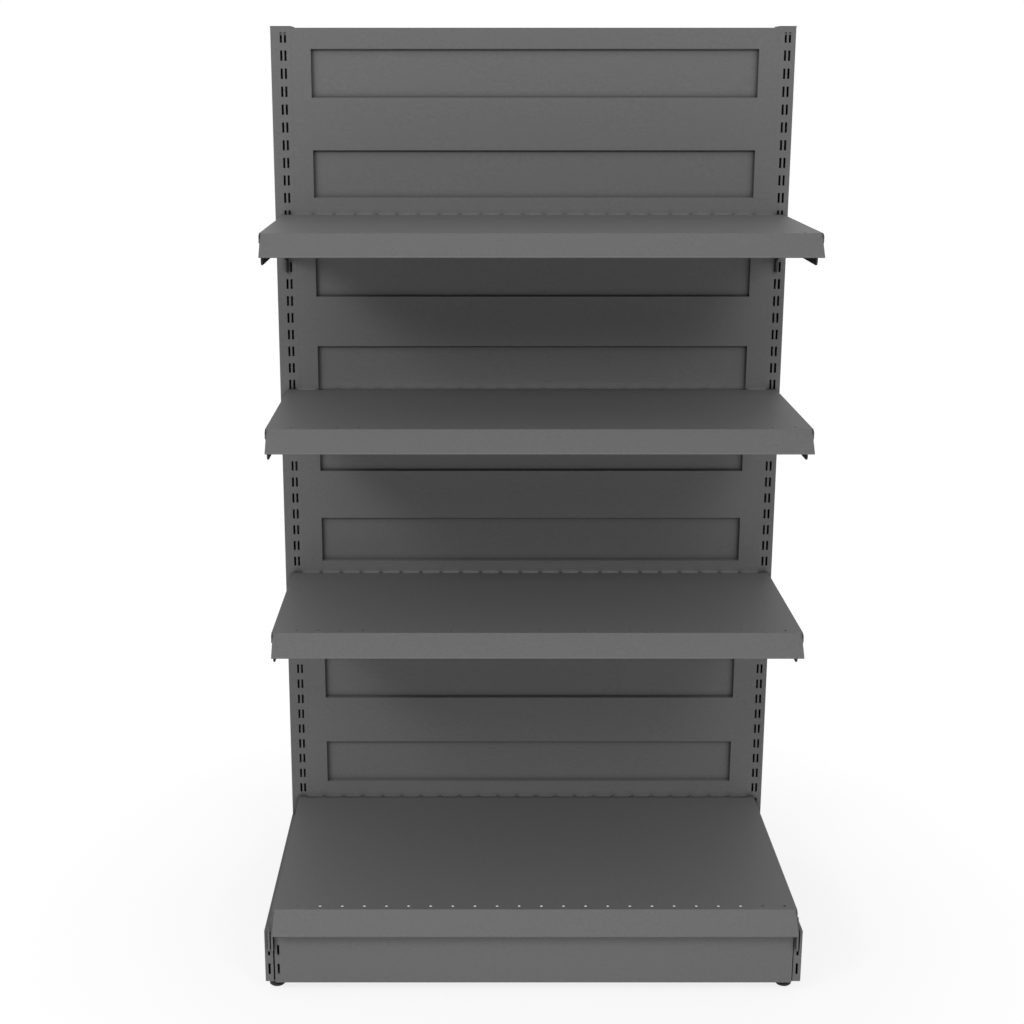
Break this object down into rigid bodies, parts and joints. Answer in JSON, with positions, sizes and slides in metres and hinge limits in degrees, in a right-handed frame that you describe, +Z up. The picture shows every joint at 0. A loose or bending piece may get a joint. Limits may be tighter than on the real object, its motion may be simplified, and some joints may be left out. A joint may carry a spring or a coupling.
{
  "type": "gondola shelving",
  "caption": "Single-sided shelving bay: slotted uprights, recessed back panels, hook-on shelves with leaning lips, and a deeper base deck with a kick plate.",
  "frame": {"origin": "bottom centre of the bounding box, on the floor", "axes": "+X to the right seen from the front, +Y to the back, +Z up; the shelves face -Y"},
  "size_m": [0.9582, 0.5772, 1.67],
  "materials": {
    "coated_steel": "fine-textured satin powder coat",
    "zinc": "zinc plated",
    "plug_plastic": "moulded, satin",
    "pad_rubber": "matte"
  },
  "bodies": {
    "frame": {"left_upright": "coated_steel", "right_upright": "coated_steel", "left_end_trim": "coated_steel", "left_foot_plate": "coated_steel", "right_foot_plate": "coated_steel", "back_panel_1": "coated_steel", "back_panel_2": "coated_steel", "back_panel_3": "coated_steel", "back_panel_4": "coated_steel", "rear_rail_1": "coated_steel", "rear_rail_2": "coated_steel", "rear_rail_3": "coated_steel", "rear_rail_4": "coated_steel", "rear_rail_5": "coated_steel", "left_base_leg": "coated_steel", "right_base_leg": "coated_steel", "left_bracket_1": "coated_steel", "left_bracket_2": "coated_steel", "left_bracket_3": "coated_steel", "right_bracket_1": "coated_steel", "right_bracket_2": "coated_steel", "right_bracket_3": "coated_steel", "trim_screws": "zinc", "rail_screws": "zinc", "foot_nuts": "zinc", "left_top_plug": "plug_plastic", "right_top_plug": "plug_plastic"},
    "shelf_1_body": {"shelf_1": "coated_steel", "shelf_stiffener_1": "coated_steel"},
    "shelf_2_body": {"shelf_2": "coated_steel", "shelf_stiffener_2": "coated_steel"},
    "shelf_3_body": {"shelf_3": "coated_steel", "shelf_stiffener_3": "coated_steel"},
    "deck_body": {"base_deck": "coated_steel", "deck_stiffener": "coated_steel", "left_deck_tab": "coated_steel", "right_deck_tab": "coated_steel"},
    "kick_plate_body": {"kick_plate": "coated_steel"},
    "front_left_foot": {"front_left_foot_pad": "pad_rubber", "front_left_foot_stud": "zinc"},
    "front_right_foot": {"front_right_foot_pad": "pad_rubber", "front_right_foot_stud": "zinc"},
    "rear_left_foot": {"rear_left_foot_pad": "pad_rubber", "rear_left_foot_stud": "zinc"},
    "rear_right_foot": {"rear_right_foot_pad": "pad_rubber", "rear_right_foot_stud": "zinc"}
  },
  "joints": [
    {"name": "shelf_1_lift", "type": "slide", "parent": "frame", "child": "shelf_1_body", "axis": [0, 0, 1], "range_m": [0, 0.03]},
    {"name": "shelf_2_lift", "type": "slide", "parent": "frame", "child": "shelf_2_body", "axis": [0, 0, 1], "range_m": [0, 0.03]},
    {"name": "shelf_3_lift", "type": "slide", "parent": "frame", "child": "shelf_3_body", "axis": [0, 0, 1], "range_m": [0, 0.03]},
    {"name": "deck_lift", "type": "slide", "parent": "frame", "child": "deck_body", "axis": [0, 0, 1], "range_m": [0, 0.03]},
    {"name": "kick_plate_lift", "type": "slide", "parent": "frame", "child": "kick_plate_body", "axis": [0, 0, 1], "range_m": [0, 0.009]},
    {"name": "front_left_foot_screw", "type": "slide", "parent": "frame", "child": "front_left_foot", "axis": [0, 0, -1], "range_m": [0, 0.02]},
    {"name": "front_right_foot_screw", "type": "slide", "parent": "frame", "child": "front_right_foot", "axis": [0, 0, -1], "range_m": [0, 0.02]},
    {"name": "rear_left_foot_screw", "type": "slide", "parent": "frame", "child": "rear_left_foot", "axis": [0, 0, -1], "range_m": [0, 0.02]},
    {"name": "rear_right_foot_screw", "type": "slide", "parent": "frame", "child": "rear_right_foot", "axis": [0, 0, -1], "range_m": [0, 0.02]}
  ]
}
